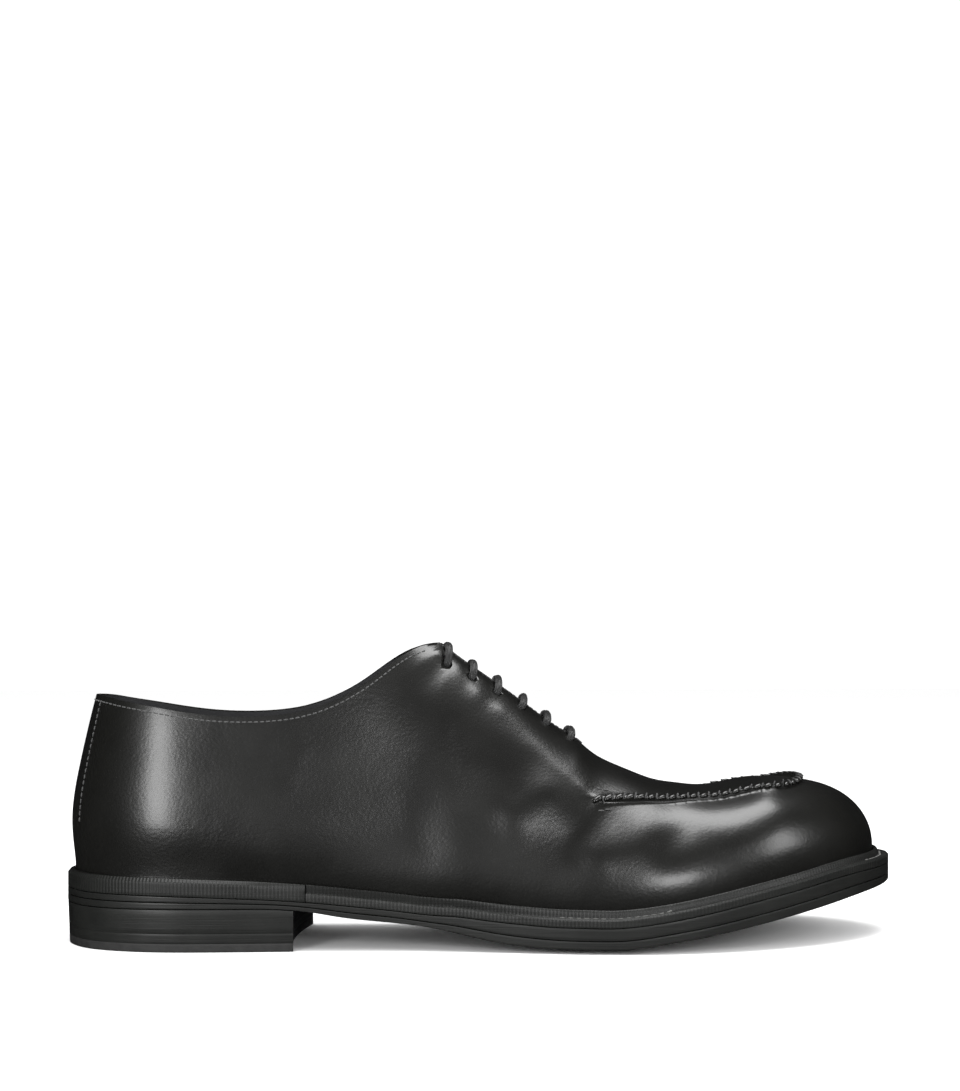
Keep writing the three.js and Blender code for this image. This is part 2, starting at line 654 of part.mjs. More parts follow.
function buildUpper() {
  const points = [];
  const index = new Map();
  const poleColumn = stations.findIndex((_, i) => feather[i].x > toePole) - 1;
  const rowCount = tipIndex - poleColumn - topLevels;
  const isRadial = (i) => Math.min(i, ringSize - i) > poleColumn;
  const key = (i, level) => {
    const merged = level === levelCount && feather[i].x >= slitBottom && i > tipIndex;
    return `${merged ? mirrorOf(i) : i}/${level}`;
  };
  columns.forEach((column, i) => {
    const table = arcTable(column, endAngle(i, column));
    const runs = levelRuns(i, column, table);
    const raised = smoothstep(feather[i].x, apronStart + ridgeRise.from, apronStart + ridgeRise.to);
    for (let level = 0; level <= (isRadial(i) ? railLevel : levelCount); level += 1) {
      if (index.has(key(i, level))) continue;
      index.set(key(i, level), points.length);
      const onCrest = level > lowLevels && level < railLevel;
      const point = surfacePoint(column, lookUp(table, 'run', 'angle', runs[level]));
      points.push({ point, raise: onCrest ? ridgeHeight * raised : 0, floor: level === 0 });
    }
  });
  const at = (i, level) => index.get(key(((i % ringSize) + ringSize) % ringSize, level));

  // The plug inside the round of the apron, from rows across and lines along
  const angleOf = (column) => Math.atan2(column.dy, column.dx);
  const atPole = (i) => Math.min(i, ringSize - i) === poleColumn;
  const radial = columns.filter((_, i) => isRadial(i) || atPole(i));
  const pole = radial[1];
  const plugHeight = (x, y) => {
    if (x <= toePole) {
      const column = columnAt(footOn(x, y < pole.y ? -1 : 1));
      return surfacePoint(column, angleAtReach(column, Math.abs(y - column.y)))[2];
    }
    const angle = Math.atan2(y - pole.y, x - pole.x);
    const j = Math.max(1, radial.findIndex((column) => angleOf(column) >= angle));
    const [a, b] = [radial[j - 1], radial[j]];
    const t = (angle - angleOf(a)) / (angleOf(b) - angleOf(a));
    const reach = lerp(a.reach, b.reach, t);
    const base = lerp(a.base, b.base, t);
    const out = Math.hypot(x - pole.x, y - pole.y) / reach;
    return base + (pole.top - base) * (1 - out ** pole.across) ** (1 / pole.up);
  };
  const patchKey = (row, line) => {
    if (line === -topLevels) return at(poleColumn + row, railLevel);
    if (line === topLevels) return at(ringSize - poleColumn - row, railLevel);
    if (row === 0 && line <= 0) return at(poleColumn, levelCount + line);
    if (row === 0) return at(ringSize - poleColumn, levelCount - line);
    if (row === rowCount) return at(poleColumn + rowCount + line + topLevels, railLevel);
    return index.get(`patch ${row} ${line}`);
  };
  for (let row = 1; row < rowCount; row += 1) {
    for (let line = 1 - topLevels; line < topLevels; line += 1) {
      const u = row / rowCount;
      const v = (line + topLevels) / (2 * topLevels);
      const edge = (r, l) => points[patchKey(r, l)].point;
      const coons = (axis) =>
        (1 - u) * edge(0, line)[axis] +
        u * edge(rowCount, line)[axis] +
        (1 - v) * edge(row, -topLevels)[axis] +
        v * edge(row, topLevels)[axis] -
        (1 - u) * (1 - v) * edge(0, -topLevels)[axis] -
        (1 - u) * v * edge(0, topLevels)[axis] -
        u * (1 - v) * edge(rowCount, -topLevels)[axis] -
        u * v * edge(rowCount, topLevels)[axis];
      const x = coons(0);
      const y = coons(1);
      index.set(`patch ${row} ${line}`, points.length);
      points.push({ point: [x, y, plugHeight(x, y)], raise: 0, floor: false });
    }
  }

  const quads = [];
  for (let i = 0; i < ringSize; i += 1) {
    const radialCell = isRadial(i) || isRadial((i + 1) % ringSize);
    for (let level = 0; level < (radialCell ? railLevel : levelCount); level += 1) {
      quads.push([at(i, level), at(i + 1, level), at(i + 1, level + 1), at(i, level + 1)]);
    }
  }
  for (let row = 0; row < rowCount; row += 1) {
    for (let line = -topLevels; line < topLevels; line += 1) {
      quads.push([
        patchKey(row, line),
        patchKey(row + 1, line),
        patchKey(row + 1, line + 1),
        patchKey(row, line + 1),
      ]);
    }
  }

  const normals = points.map(() => new THREE.Vector3());
  for (const [a, b, c, d] of quads) {
    const [p, q, r, s] = [a, b, c, d].map((k) => new THREE.Vector3(...points[k].point));
    const normal = r.clone().sub(p).cross(s.clone().sub(q));
    for (const k of [a, b, c, d]) normals[k].add(normal);
  }
  normals.forEach((normal, k) => {
    if (points[k].floor) normal.setZ(0);
    normal.normalize();
  });
  const moved = (k, offset) => {
    const normal = normals[k].toArray();
    return points[k].point.map((value, axis) => value + offset * normal[axis]);
  };
  const outer = points.map((p, k) => moved(k, p.raise));
  const inner = points.map((_, k) => moved(k, -wall));
  const count = points.length;
  const faces = quads.map((q) => quad(...q));
  for (const q of quads) faces.push(quad(...q.map((k) => k + count).toReversed()));

  const used = new Map();
  for (const q of quads) {
    q.forEach((a, n) => {
      const b = q[(n + 1) % 4];
      if (used.has(`${b} ${a}`)) used.delete(`${b} ${a}`);
      else used.set(`${a} ${b}`, [a, b]);
    });
  }
  for (const [a, b] of used.values()) faces.push(quad(b, a, a + count, b + count));
  return solid([...outer, ...inner], faces);
}

// Cuts with manifold-3d

function toManifold(geometry) {
  return new wasm.Manifold(
    new wasm.Mesh({
      numProp: 3,
      vertProperties: new Float32Array(geometry.getAttribute('position').array),
      triVerts: new Uint32Array(geometry.getIndex().array),
    }),
  );
}

function fromManifold(body) {
  const mesh = body.getMesh();
  const geometry = new THREE.BufferGeometry();
  geometry.setAttribute('position', new THREE.BufferAttribute(mesh.vertProperties.slice(), 3));
  geometry.setIndex(new THREE.BufferAttribute(mesh.triVerts.slice(), 1));
  geometry.computeVertexNormals();
  return geometry;
}

// Points above or below the last surface, for the lace, the holes and the tongue

function footOn(x, side) {
  const rim = (along) => {
    const p = outlinePoint(clamp(along, nearTip, length - nearTip), side);
    return insetPoint(p, margin(p.x));
  };
  let along = x;
  for (let i = 0; i < refinements; i += 1) along += x - rim(along).x;
  return rim(along);
}

const frameStep = 0.5;

function surfaceFrame(x, offset) {
  const side = offset < 0 ? -1 : 1;
  const point = (along, out) => {
    const column = columnAt(footOn(along, out < 0 ? -1 : 1));
    return new THREE.Vector3(...surfacePoint(column, angleAtReach(column, Math.abs(out))));
  };
  const here = point(x, offset);
  const along = point(x + frameStep, offset).sub(point(x - frameStep, offset));
  const across = point(x, offset + side * frameStep).sub(here).multiplyScalar(side);
  return { point: here, normal: along.cross(across).normalize() };
}

function offSurface(x, out, lift) {
  const frame = surfaceFrame(x, out);
  return frame.point.addScaledVector(frame.normal, lift);
}

const eyeletX = (n) => firstEyelet + n * eyeletPitch;

const eyeletFacets = 10;
const cutterLength = 4 * wall;

function eyeletCutter(x, side) {
  const frame = surfaceFrame(x, side * eyeletSide);
  const radius = eyeletDiameter / 2;
  const cutter = new THREE.CylinderGeometry(radius, radius, cutterLength, eyeletFacets);
  const upright = new THREE.Vector3(0, 1, 0);
  cutter.applyQuaternion(new THREE.Quaternion().setFromUnitVectors(upright, frame.normal));
  const middle = frame.point.addScaledVector(frame.normal, -wall / 2);
  cutter.translate(middle.x, middle.y, middle.z);
  return toManifold(weld(cutter));
}

const weldDigits = 4;

function weld(geometry) {
  const position = geometry.getAttribute('position');
  const source = geometry.getIndex();
  const places = new Map();
  const points = [];
  const renumbered = Array.from({ length: position.count }, (_, k) => {
    const point = [position.getX(k), position.getY(k), position.getZ(k)];
    const place = point.map((value) => value.toFixed(weldDigits)).join(' ');
    if (!places.has(place)) {
      places.set(place, points.length);
      points.push(point);
    }
    return places.get(place);
  });
  const corners = Array.from({ length: source.count }, (_, k) => renumbered[source.getX(k)]);
  const faces = [];
  for (let k = 0; k < corners.length; k += 3) {
    const face = corners.slice(k, k + 3);
    if (new Set(face).size === 3) faces.push(face);
  }
  return solid(points, faces);
}

function punchedUpper() {
  let body = toManifold(buildUpper());
  for (let n = 0; n < eyeletCount; n += 1) {
    for (const side of [-1, 1]) body = body.subtract(eyeletCutter(eyeletX(n), side));
  }
  return fromManifold(body);
}

// Welt and rand: a section swept along the sole outline, against the foot of the upper

function sweptSection(first, last, cornersAt) {
  const rings = [];
  for (let k = first; k <= last; k += 1) {
    const i = ((k % ringSize) + ringSize) % ringSize;
    rings.push(cornersAt(outlineRing[i], columns[i]).toReversed());
  }
  const size = rings[0].length;
  const end = (rings.length - 1) * size;
  const [inner] = rings[0];
  const contour = rings[0].map(
    (p) => new THREE.Vector2(Math.hypot(p[0] - inner[0], p[1] - inner[1]), p[2]),
  );
  const cap = THREE.ShapeUtils.triangulateShape(contour, []);
  return solid(rings.flat(), [
    ...ringFaces(rings.length, size, false),
    ...cap,
    ...cap.map((t) => t.map((n) => end + n).toReversed()),
  ]);
}

const jointStation = stations.findIndex((x) => x > length * jointShare);

// A corner is given by its share of the way from the upper out to the edge, by its height, and
// by the share of the lip's height that it adds
function edgeSection(corners) {
  return (rim, column) => {
    const base = seat(share(rim.x));
    return corners.map(({ out, height, lifted }) => {
      const lift = height + lifted * lip(rim.x);
      const foot = surfacePoint(column, angleAtHeight(column, lift));
      const wallOut = Math.hypot(foot[0] - column.x, foot[1] - column.y) + gap;
      const inner = [column.x + column.dx * wallOut, column.y + column.dy * wallOut];
      return [lerp(inner[0], rim.x, out), lerp(inner[1], rim.y, out), base + lift];
    });
  };
}

const welt = sweptSection(
  jointStation,
  ringSize - jointStation,
  edgeSection([
    { out: 0, height: 0, lifted: 0 },
    { out: 1, height: 0, lifted: 0 },
    { out: 1, height: weltThickness - edgeBevel, lifted: 0 },
    { out: 0.9, height: weltThickness, lifted: 0 },
    { out: 0.62, height: weltThickness, lifted: 0 },
    { out: 0.5, height: weltThickness - grooveDepth, lifted: 0 },
    { out: 0.38, height: weltThickness, lifted: 0 },
    { out: 0.26, height: weltThickness - edgeBevel, lifted: 1 },
    { out: 0.12, height: weltThickness, lifted: 1 },
    { out: 0, height: weltThickness - edgeBevel, lifted: 1 },
    { out: 0, height: weltThickness, lifted: 0 },
  ]),
);

const randSection = edgeSection([
  { out: 0, height: 0, lifted: 0 },
  { out: 1, height: 0, lifted: 0 },
  { out: 1, height: weltThickness - 2 * edgeBevel, lifted: 1 },
  { out: 0.6, height: weltThickness, lifted: 1 },
  { out: 0, height: weltThickness, lifted: 1 },
  { out: 0, height: weltThickness, lifted: 0 },
]);
const heelRand = sweptSection(-jointStation, jointStation, (rim, column) => {
  const joint = rim.x > outlineRing[jointStation].x - gap ? gap : 0;
  return randSection(rim, column).map(([x, y, z]) => [x - joint, y, z]);
});

// Tongue: a strip under the facings, seated against the vamp at its front end

const tongueRows = 12;
const tongueLines = 8;
const seatRun = { from: -4, to: 8 };

function slab(under, over) {
  const rows = over.length - 1;
  const lines = over[0].length - 1;
  const stride = lines + 1;
  const low = (row, line) => row * stride + line;
  const high = (row, line) => stride * (rows + 1) + low(row, line);
  const faces = [];
  for (let row = 0; row < rows; row += 1) {
    const next = row + 1;
    for (let line = 0; line < lines; line += 1) {
      faces.push(quad(high(row, line), high(next, line), high(next, line + 1), high(row, line + 1)));
      faces.push(quad(low(row, line), low(row, line + 1), low(next, line + 1), low(next, line)));
    }
    faces.push(quad(low(row, 0), low(next, 0), high(next, 0), high(row, 0)));
    faces.push(quad(low(next, lines), low(row, lines), high(row, lines), high(next, lines)));
  }
  for (let line = 0; line < lines; line += 1) {
    const next = line + 1;
    faces.push(quad(low(0, next), low(0, line), high(0, line), high(0, next)));
    faces.push(quad(low(rows, line), low(rows, next), high(rows, next), high(rows, line)));
  }
  return solid([...under.flat(), ...over.flat()], faces);
}

function buildTongue() {
  const underLace = wall + 2 * laceGap + laceDiameter + gap;
  const seated = wall + tongueGap;
  const grid = (thickness) =>
    Array.from({ length: tongueRows + 1 }, (_, row) => {
      const t = row / tongueRows;
      const x = lerp(slitTop - tongueRise, slitBottom + tongueTail, t);
      const toVamp = smoothstep(x, slitBottom + seatRun.from, slitBottom + seatRun.to);
      const depth = lerp(underLace, seated, toVamp) + thickness;
      return Array.from({ length: tongueLines + 1 }, (__, line) => {
        const across = (2 * line) / tongueLines - 1 || nearTip;
        const width = tongueHalfWidth * (1 - tongueNarrowing * t);
        return offSurface(x, across * width, -depth).toArray();
      });
    });
  return slab(grid(tongueThickness), grid(0));
}

// Lace: one run that crosses in bars over the slit and climbs under the facings

class ChosenPoints extends THREE.Curve {
  constructor(points) {
    super();
    this.points = points;
  }

  getPoint(t, target = new THREE.Vector3()) {
    const place = t * (this.points.length - 1);
    const i = Math.min(Math.floor(place), this.points.length - 2);
    return target.lerpVectors(this.points[i], this.points[i + 1], place - i);
  }

  getTangent(t, target = new THREE.Vector3()) {
    const place = Math.round(t * (this.points.length - 1));
    const before = this.points[Math.max(place - 1, 0)];
    const after = this.points[Math.min(place + 1, this.points.length - 1)];
    return target.subVectors(after, before).normalize();
  }

  getUtoTmapping(u) {
    return u;
  }
}

const bendSteps = 3;
const straight = -0.8;

function roundedRun(points, radius) {
  return points.flatMap((corner, i) => {
    if (i === 0 || i === points.length - 1) return [corner];
    const back = points[i - 1].clone().sub(corner).normalize();
    const on = points[i + 1].clone().sub(corner).normalize();
    if (back.dot(on) < straight) return [corner];
    const start = corner.clone().addScaledVector(back, radius);
    const end = corner.clone().addScaledVector(on, radius);
    return new THREE.QuadraticBezierCurve3(start, corner, end).getPoints(bendSteps);
  });
}

function indexed(geometry) {
  const count = geometry.getAttribute('position').count;
  geometry.setIndex(Array.from({ length: count }, (_, k) => k));
  return geometry;
}

function buildLace() {
  const lift = laceGap + laceDiameter / 2;
  const under = -wall - lift;
  const route = [];
  for (let n = eyeletCount - 1; n >= 0; n -= 1) {
    const side = (eyeletCount - 1 - n) % 2 === 0 ? -1 : 1;
    const x = eyeletX(n);
    route.push(offSurface(x, side * eyeletSide, under));
    route.push(offSurface(x, side * eyeletSide, lift));
    for (const across of [0.5, 0.02, -0.5]) {
      route.push(offSurface(x, side * across * eyeletSide, lift));
    }
    route.push(offSurface(x, -side * eyeletSide, lift));
    route.push(offSurface(x, -side * eyeletSide, under));
  }
  const run = roundedRun(route, laceBend);
  const section = new THREE.Shape();
  section.absarc(0, 0, laceDiameter / 2, 0, 2 * Math.PI, false);
  const tube = new THREE.ExtrudeGeometry(section, {
    steps: run.length - 1,
    curveSegments: 4,
    extrudePath: new ChosenPoints(run),
    bevelEnabled: false,
  });
  return weld(indexed(tube));
}

// Assembly

const shoe = new THREE.Group();
shoe.name = 'oxford_shoe';
shoe.position.set(-length / 2, -sideMiddle, 0);

function add(name, geometry, color, roughness) {
  const material = new THREE.MeshStandardMaterial({ color, roughness, metalness: 0 });
  const mesh = new THREE.Mesh(geometry, material);
  mesh.name = name;
  shoe.add(mesh);
}

add('toplift', heelLayer(0, topliftThickness), '#1c1d1c', 0.6);
add('top_piece', heelLayer(topliftThickness, topPieceTop), '#232422', 0.45);
add('heel_stack', heelStack, '#232422', 0.4);
add('outsole', outsole, '#222321', 0.5);
add('midsole', midsole, '#242523', 0.4);
add('welt', welt, '#262725', 0.4);
add('heel_rand', heelRand, '#262725', 0.4);
add('insole', insole, '#2a2a2b', 0.7);
add('upper', punchedUpper(), '#222220', 0.3);
add('tongue', buildTongue(), '#1e1e1d', 0.5);
add('lace', buildLace(), '#161616', 0.6);

export default shoe;
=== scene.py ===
"""Oxford shoe, right foot: leather, seams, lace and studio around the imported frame."""

import math

import bmesh
import bpy
import numpy as np
from mathutils import Matrix, Vector
from mathutils.bvhtree import BVHTree


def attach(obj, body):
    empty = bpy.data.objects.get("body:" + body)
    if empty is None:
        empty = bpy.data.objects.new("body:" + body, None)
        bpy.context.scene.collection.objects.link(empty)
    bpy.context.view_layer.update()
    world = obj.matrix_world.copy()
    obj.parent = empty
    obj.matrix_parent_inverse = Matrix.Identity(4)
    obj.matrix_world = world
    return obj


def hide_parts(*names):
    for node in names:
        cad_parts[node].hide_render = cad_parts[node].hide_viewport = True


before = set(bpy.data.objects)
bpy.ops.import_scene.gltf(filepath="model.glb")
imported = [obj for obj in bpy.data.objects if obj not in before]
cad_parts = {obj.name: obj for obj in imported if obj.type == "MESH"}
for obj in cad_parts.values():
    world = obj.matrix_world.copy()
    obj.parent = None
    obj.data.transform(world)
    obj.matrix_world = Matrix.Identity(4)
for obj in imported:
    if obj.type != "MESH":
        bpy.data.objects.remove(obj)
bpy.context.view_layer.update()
MM = 0.001
UP = Vector((0, 0, 1))

# The photograph's frame and the camera that it was taken with
FRAME_HEIGHT = 1091
SHOE_SCALE = 2.7
HORIZON_ROW = 628.5
CAMERA_DISTANCE = 750 * MM
CAMERA_HEIGHT = 113.2 * MM
CAMERA_ASIDE = -2.4 * MM
SHOE_YAW = math.radians(4.5)
SENSOR = 36

# The upper's plan, in mm: the spine's offset along the shoe, the lacing and the apron
SPINE = [(-20, -2.8), (-11, -2.5), (6, -1.2), (24, 1), (38, 2.6), (57, 4.7), (67, 5.5), (84, 6.4), (101, 6.8)]
EYELET_START, EYELET_PITCH, EYELET_SIDE, EYELET_COUNT = -15.4, 9.1, 10.5, 6
EYELET_RADIUS = 1.75
APRON_EDGE = [(37, 34.1), (46, 33.5), (55, 32.3), (67, 29.6), (79.6, 26.6), (92, 24.4), (100, 24.1)]
APRON_FRONT = (100, 6.8)
APRON_REACH, APRON_HALF = 17, 24.1
HEEL_POLE = (-115, -1.2)


def spine(x):
    return float(np.interp(x, *zip(*SPINE)))


# Mesh work


def edit(piece):
    bpy.ops.object.select_all(action="DESELECT")
    piece.select_set(True)
    bpy.context.view_layer.objects.active = piece
    bpy.ops.object.mode_set(mode="EDIT")
    bpy.ops.mesh.select_all(action="SELECT")


def merged_copy(node, name):
    piece = bpy.data.objects.new(name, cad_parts[node].data.copy())
    bpy.context.scene.collection.objects.link(piece)
    piece.data.materials.clear()
    edit(piece)
    bpy.ops.mesh.remove_doubles(threshold=0.01 * MM)
    bpy.ops.object.mode_set(mode="OBJECT")
    return piece


def to_quads(piece):
    edit(piece)
    bpy.ops.mesh.tris_convert_to_quads(face_threshold=math.pi, shape_threshold=math.pi)
    bpy.ops.object.mode_set(mode="OBJECT")


def crease_arrises(piece, degrees, weight):
    edit(piece)
    bpy.ops.mesh.select_mode(type="EDGE")
    bpy.ops.mesh.select_all(action="DESELECT")
    bpy.ops.mesh.edges_select_sharp(sharpness=math.radians(degrees))
    bpy.ops.object.mode_set(mode="OBJECT")
    edges = piece.data.edges
    sharp = np.zeros(len(edges), dtype=bool)
    edges.foreach_get("select", sharp)
    crease = piece.data.attributes.new("crease_edge", "FLOAT", "EDGE")
    crease.data.foreach_set("value", sharp * weight)


def apply_modifier(piece, kind, **settings):
    modifier = piece.modifiers.new(kind.lower(), kind)
    for key, value in settings.items():
        setattr(modifier, key, value)
    bpy.ops.object.select_all(action="DESELECT")
    piece.select_set(True)
    bpy.context.view_layer.objects.active = piece
    bpy.ops.object.modifier_apply(modifier=modifier.name)


def round_off(piece, levels):
    apply_modifier(piece, "SUBSURF", levels=levels, render_levels=levels)


def shade(piece, degrees):
    bpy.ops.object.select_all(action="DESELECT")
    piece.select_set(True)
    bpy.context.view_layer.objects.active = piece
    bpy.ops.object.shade_smooth_by_angle(angle=math.radians(degrees))


def points_of(piece):
    points = np.empty(len(piece.data.vertices) * 3)
    piece.data.vertices.foreach_get("co", points)
    return points.reshape(-1, 3)


def tree_of(piece):
    mesh = piece.data
    return BVHTree.FromPolygons(
        [tuple(v.co) for v in mesh.vertices], [tuple(p.vertices) for p in mesh.polygons]
    )


def inward(points, normals):
    """How far, in metres, each normal points at the last's core: over 0 on the lining."""
    core_x = np.clip(points[:, 0], HEEL_POLE[0] * MM, APRON_FRONT[0] * MM)
    core_y = np.interp(core_x / MM, *zip(*SPINE)) * MM
    core = np.stack([core_x, core_y, np.full(len(points), 32 * MM)], axis=1)
    return ((core - points) * normals).sum(axis=1)


# Materials


def linear(hex_colour):
    channels = [int(hex_colour[i : i + 2], 16) / 255 for i in (1, 3, 5)]
    return [c / 12.92 if c <= 0.04045 else ((c + 0.055) / 1.055) ** 2.4 for c in channels] + [1]


def add_node(tree, kind, settings=(), links=()):
    node = tree.nodes.new("ShaderNode" + kind)
    for key, value in dict(settings).items():
        if isinstance(key, int) or key in node.inputs:
            node.inputs[key].default_value = value
        else:
            setattr(node, key, value)
    for key, socket in dict(links).items():
        tree.links.new(socket, node.inputs[key])
    return node


def new_material(name, **uniform):
    material = bpy.data.materials.new(name)
    material.use_nodes = True
    shader = material.node_tree.nodes["Principled BSDF"]
    for key, value in uniform.items():
        shader.inputs[key.replace("_", " ")].default_value = value
    return material, material.node_tree, shader


def tint(tree, shader, factor, dark, light):
    blend = add_node(
        tree, "Mix", {"data_type": "RGBA", 6: linear(dark), 7: linear(light)}, {0: factor}
    )
    tree.links.new(blend.outputs[2], shader.inputs["Base Color"])


def gloss(tree, shader, factor, low, high):
    span = add_node(tree, "MapRange", {"To Min": low, "To Max": high}, {"Value": factor})
    tree.links.new(span.outputs["Result"], shader.inputs["Roughness"])


def relief(tree, shader, layers):
    """Chains bumps, each a height socket with its depth in metres and its strength."""
    normal = None
    for height, depth, strength in layers:
        links = {"Height": height}
        if normal:
            links["Normal"] = normal
        bump = add_node(tree, "Bump", {"Strength": strength, "Distance": depth}, links)
        normal = bump.outputs["Normal"]
    tree.links.new(normal, shader.inputs["Normal"])


def per_metre(millimetres):
    return 1 / (millimetres * MM)


def calf_leather(name, grain_mm, pore_strength, polish):
    # Aniline calf, boarded and waxed: near black, fine pores, a hard polish with soft highlights
    material, tree, shader = new_material(name, IOR=1.5, Coat_Weight=polish, Coat_Roughness=0.2)
    place = add_node(tree, "TexCoord").outputs["Object"]
    cloud = add_node(tree, "TexNoise", {"Scale": per_metre(26), "Detail": 3.0}, {"Vector": place})
    grain = add_node(
        tree, "TexVoronoi", {"Scale": per_metre(grain_mm), "feature": "SMOOTH_F1"}, {"Vector": place}
    )
    pore = add_node(tree, "TexNoise", {"Scale": per_metre(grain_mm * 1.7), "Detail": 4.0}, {"Vector": place})
    swell = add_node(tree, "TexNoise", {"Scale": per_metre(15), "Detail": 1.0}, {"Vector": place})
    tint(tree, shader, cloud.outputs["Fac"], "#090908", "#151513")
    gloss(tree, shader, cloud.outputs["Fac"], 0.25, 0.37)
    relief(
        tree,
        shader,
        [
            (swell.outputs["Fac"], 0.5 * MM, 0.35),
            (pore.outputs["Fac"], 0.12 * MM, pore_strength),
            (grain.outputs["Distance"], 0.06 * MM, pore_strength),
        ],
    )
    return material


def lining_leather():
    # Glazed lining leather: dark grey, drier than the calf, with a loose grain
    material, tree, shader = new_material("glazed_lining_leather", IOR=1.48)
    place = add_node(tree, "TexCoord").outputs["Object"]
    cloud = add_node(tree, "TexNoise", {"Scale": per_metre(9), "Detail": 5.0}, {"Vector": place})
    grain = add_node(tree, "TexVoronoi", {"Scale": per_metre(1.2)}, {"Vector": place})
    tint(tree, shader, cloud.outputs["Fac"], "#1c1c1e", "#343436")
    gloss(tree, shader, cloud.outputs["Fac"], 0.5, 0.68)
    relief(tree, shader, [(grain.outputs["Distance"], 0.12 * MM, 0.5)])
    return material


def edge_leather(name, dark, light, line_mm, tick_mm, tick_strength):
    # Burnished sole leather edge, inked and ironed: satin black, brushed along the edge
    material, tree, shader = new_material(name, IOR=1.42, Coat_Weight=0.1, Coat_Roughness=0.3)
    place = add_node(tree, "TexCoord").outputs["Object"]
    along = add_node(tree, "Attribute", {"attribute_name": "along_edge"}).outputs["Fac"]
    height = add_node(tree, "Attribute", {"attribute_name": "up_edge"}).outputs["Fac"]
    strip = add_node(tree, "CombineXYZ", {}, {"X": along, "Y": height})
    brushed = add_node(
        tree, "Mapping", {"Scale": (per_metre(30), per_metre(line_mm), 1)}, {"Vector": strip.outputs[0]}
    )
    brush = add_node(tree, "TexNoise", {"Scale": 1.0, "Detail": 5.0}, {"Vector": brushed.outputs[0]})
    wear = add_node(tree, "TexNoise", {"Scale": per_metre(11), "Detail": 6.0}, {"Vector": place})
    # The wave texture turns once in pi / 10 of its input
    ticked = add_node(
        tree, "Mapping", {"Scale": (per_metre(tick_mm) * math.pi / 10, 0, 0)}, {"Vector": strip.outputs[0]}
    )
    tick = add_node(
        tree, "TexWave", {"Scale": 1.0, "wave_profile": "SIN"}, {"Vector": ticked.outputs[0]}
    )
    tint(tree, shader, wear.outputs["Fac"], dark, light)
    gloss(tree, shader, brush.outputs["Fac"], 0.34, 0.56)
    relief(
        tree,
        shader,
        [
            (brush.outputs["Fac"], 0.12 * MM, 0.6),
            (tick.outputs["Fac"], 0.25 * MM, tick_strength),
        ],
    )
    return material


def toplift_rubber():
    # Moulded rubber toplift: dull black, scuffed where it meets the floor
    material, tree, shader = new_material("moulded_rubber", IOR=1.52)
    place = add_node(tree, "TexCoord").outputs["Object"]
    scuff = add_node(tree, "TexNoise", {"Scale": per_metre(2.2), "Detail": 6.0}, {"Vector": place})
    tint(tree, shader, scuff.outputs["Fac"], "#151515", "#2b2b2a")
    gloss(tree, shader, scuff.outputs["Fac"], 0.5, 0.75)
    relief(tree, shader, [(scuff.outputs["Fac"], 0.2 * MM, 0.5)])
    return material


def waxed_thread(name, dark, light, rough):
    # Waxed linen thread: a tight twist that shows as a soft glint on each stitch
    material, tree, shader = new_material(name, IOR=1.5, Sheen_Weight=0.2)
    place = add_node(tree, "TexCoord").outputs["Object"]
    twist = add_node(tree, "TexNoise", {"Scale": per_metre(0.6), "Detail": 2.0}, {"Vector": place})
    tint(tree, shader, twist.outputs["Fac"], dark, light)
    gloss(tree, shader, twist.outputs["Fac"], rough, rough + 0.15)
    relief(tree, shader, [(twist.outputs["Fac"], 0.1 * MM, 0.5)])
    return material


def waxed_cord():
    # Waxed braided cotton lace: lengthwise plaits under wax, with a low shine
    material, tree, shader = new_material("waxed_cotton_braid", IOR=1.5, Coat_Weight=0.15)
    surface = add_node(tree, "UVMap", {"uv_map": "around_cord"}).outputs["UV"]
    lines = add_node(tree, "Mapping", {"Scale": (1, 6, 1)}, {"Vector": surface})
    plait = add_node(
        tree,
        "TexWave",
        {"Scale": 1.0, "bands_direction": "Y", "Distortion": 1.5, "Detail": 1.0},
        {"Vector": lines.outputs[0]},
    )
    tint(tree, shader, plait.outputs["Fac"], "#0c0c0c", "#383838")
    gloss(tree, shader, plait.outputs["Fac"], 0.35, 0.55)
    relief(tree, shader, [(plait.outputs["Fac"], 0.3 * MM, 0.8)])
    return material


CALF = calf_leather("waxed_calf", 0.9, 0.45, 0.35)
PUCKER = calf_leather("drawn_calf_seam", 1.1, 0.6, 0.45)
LINING = lining_leather()
EDGE = edge_leather("burnished_sole_edge", "#0e0f0e", "#1c1d1b", 0.5, 3.0, 0.0)
HEEL_EDGE = edge_leather("burnished_heel_edge", "#0d0e0d", "#1e1f1d", 0.35, 3.0, 0.0)
WELT_LEATHER = edge_leather("wheeled_welt_leather", "#0e0f0e", "#1e1f1d", 0.6, 1.3, 0.35)
RUBBER = toplift_rubber()
THREAD = waxed_thread("waxed_black_thread", "#161616", "#4a4a4a", 0.4)
PALE_THREAD = waxed_thread("waxed_grey_thread", "#252524", "#5e5e5b", 0.45)
DARK_THREAD = waxed_thread("pitched_black_thread", "#050505", "#161616", 0.45)
CORD = waxed_cord()


# Upper


def surface_at(tree, x, y, top=140):
    """The highest point of a piece over a place in the plan, with its normal, in metres."""
    spot, normal, _, _ = tree.ray_cast(Vector((x, y, top)) * MM, -UP)
    return spot, normal


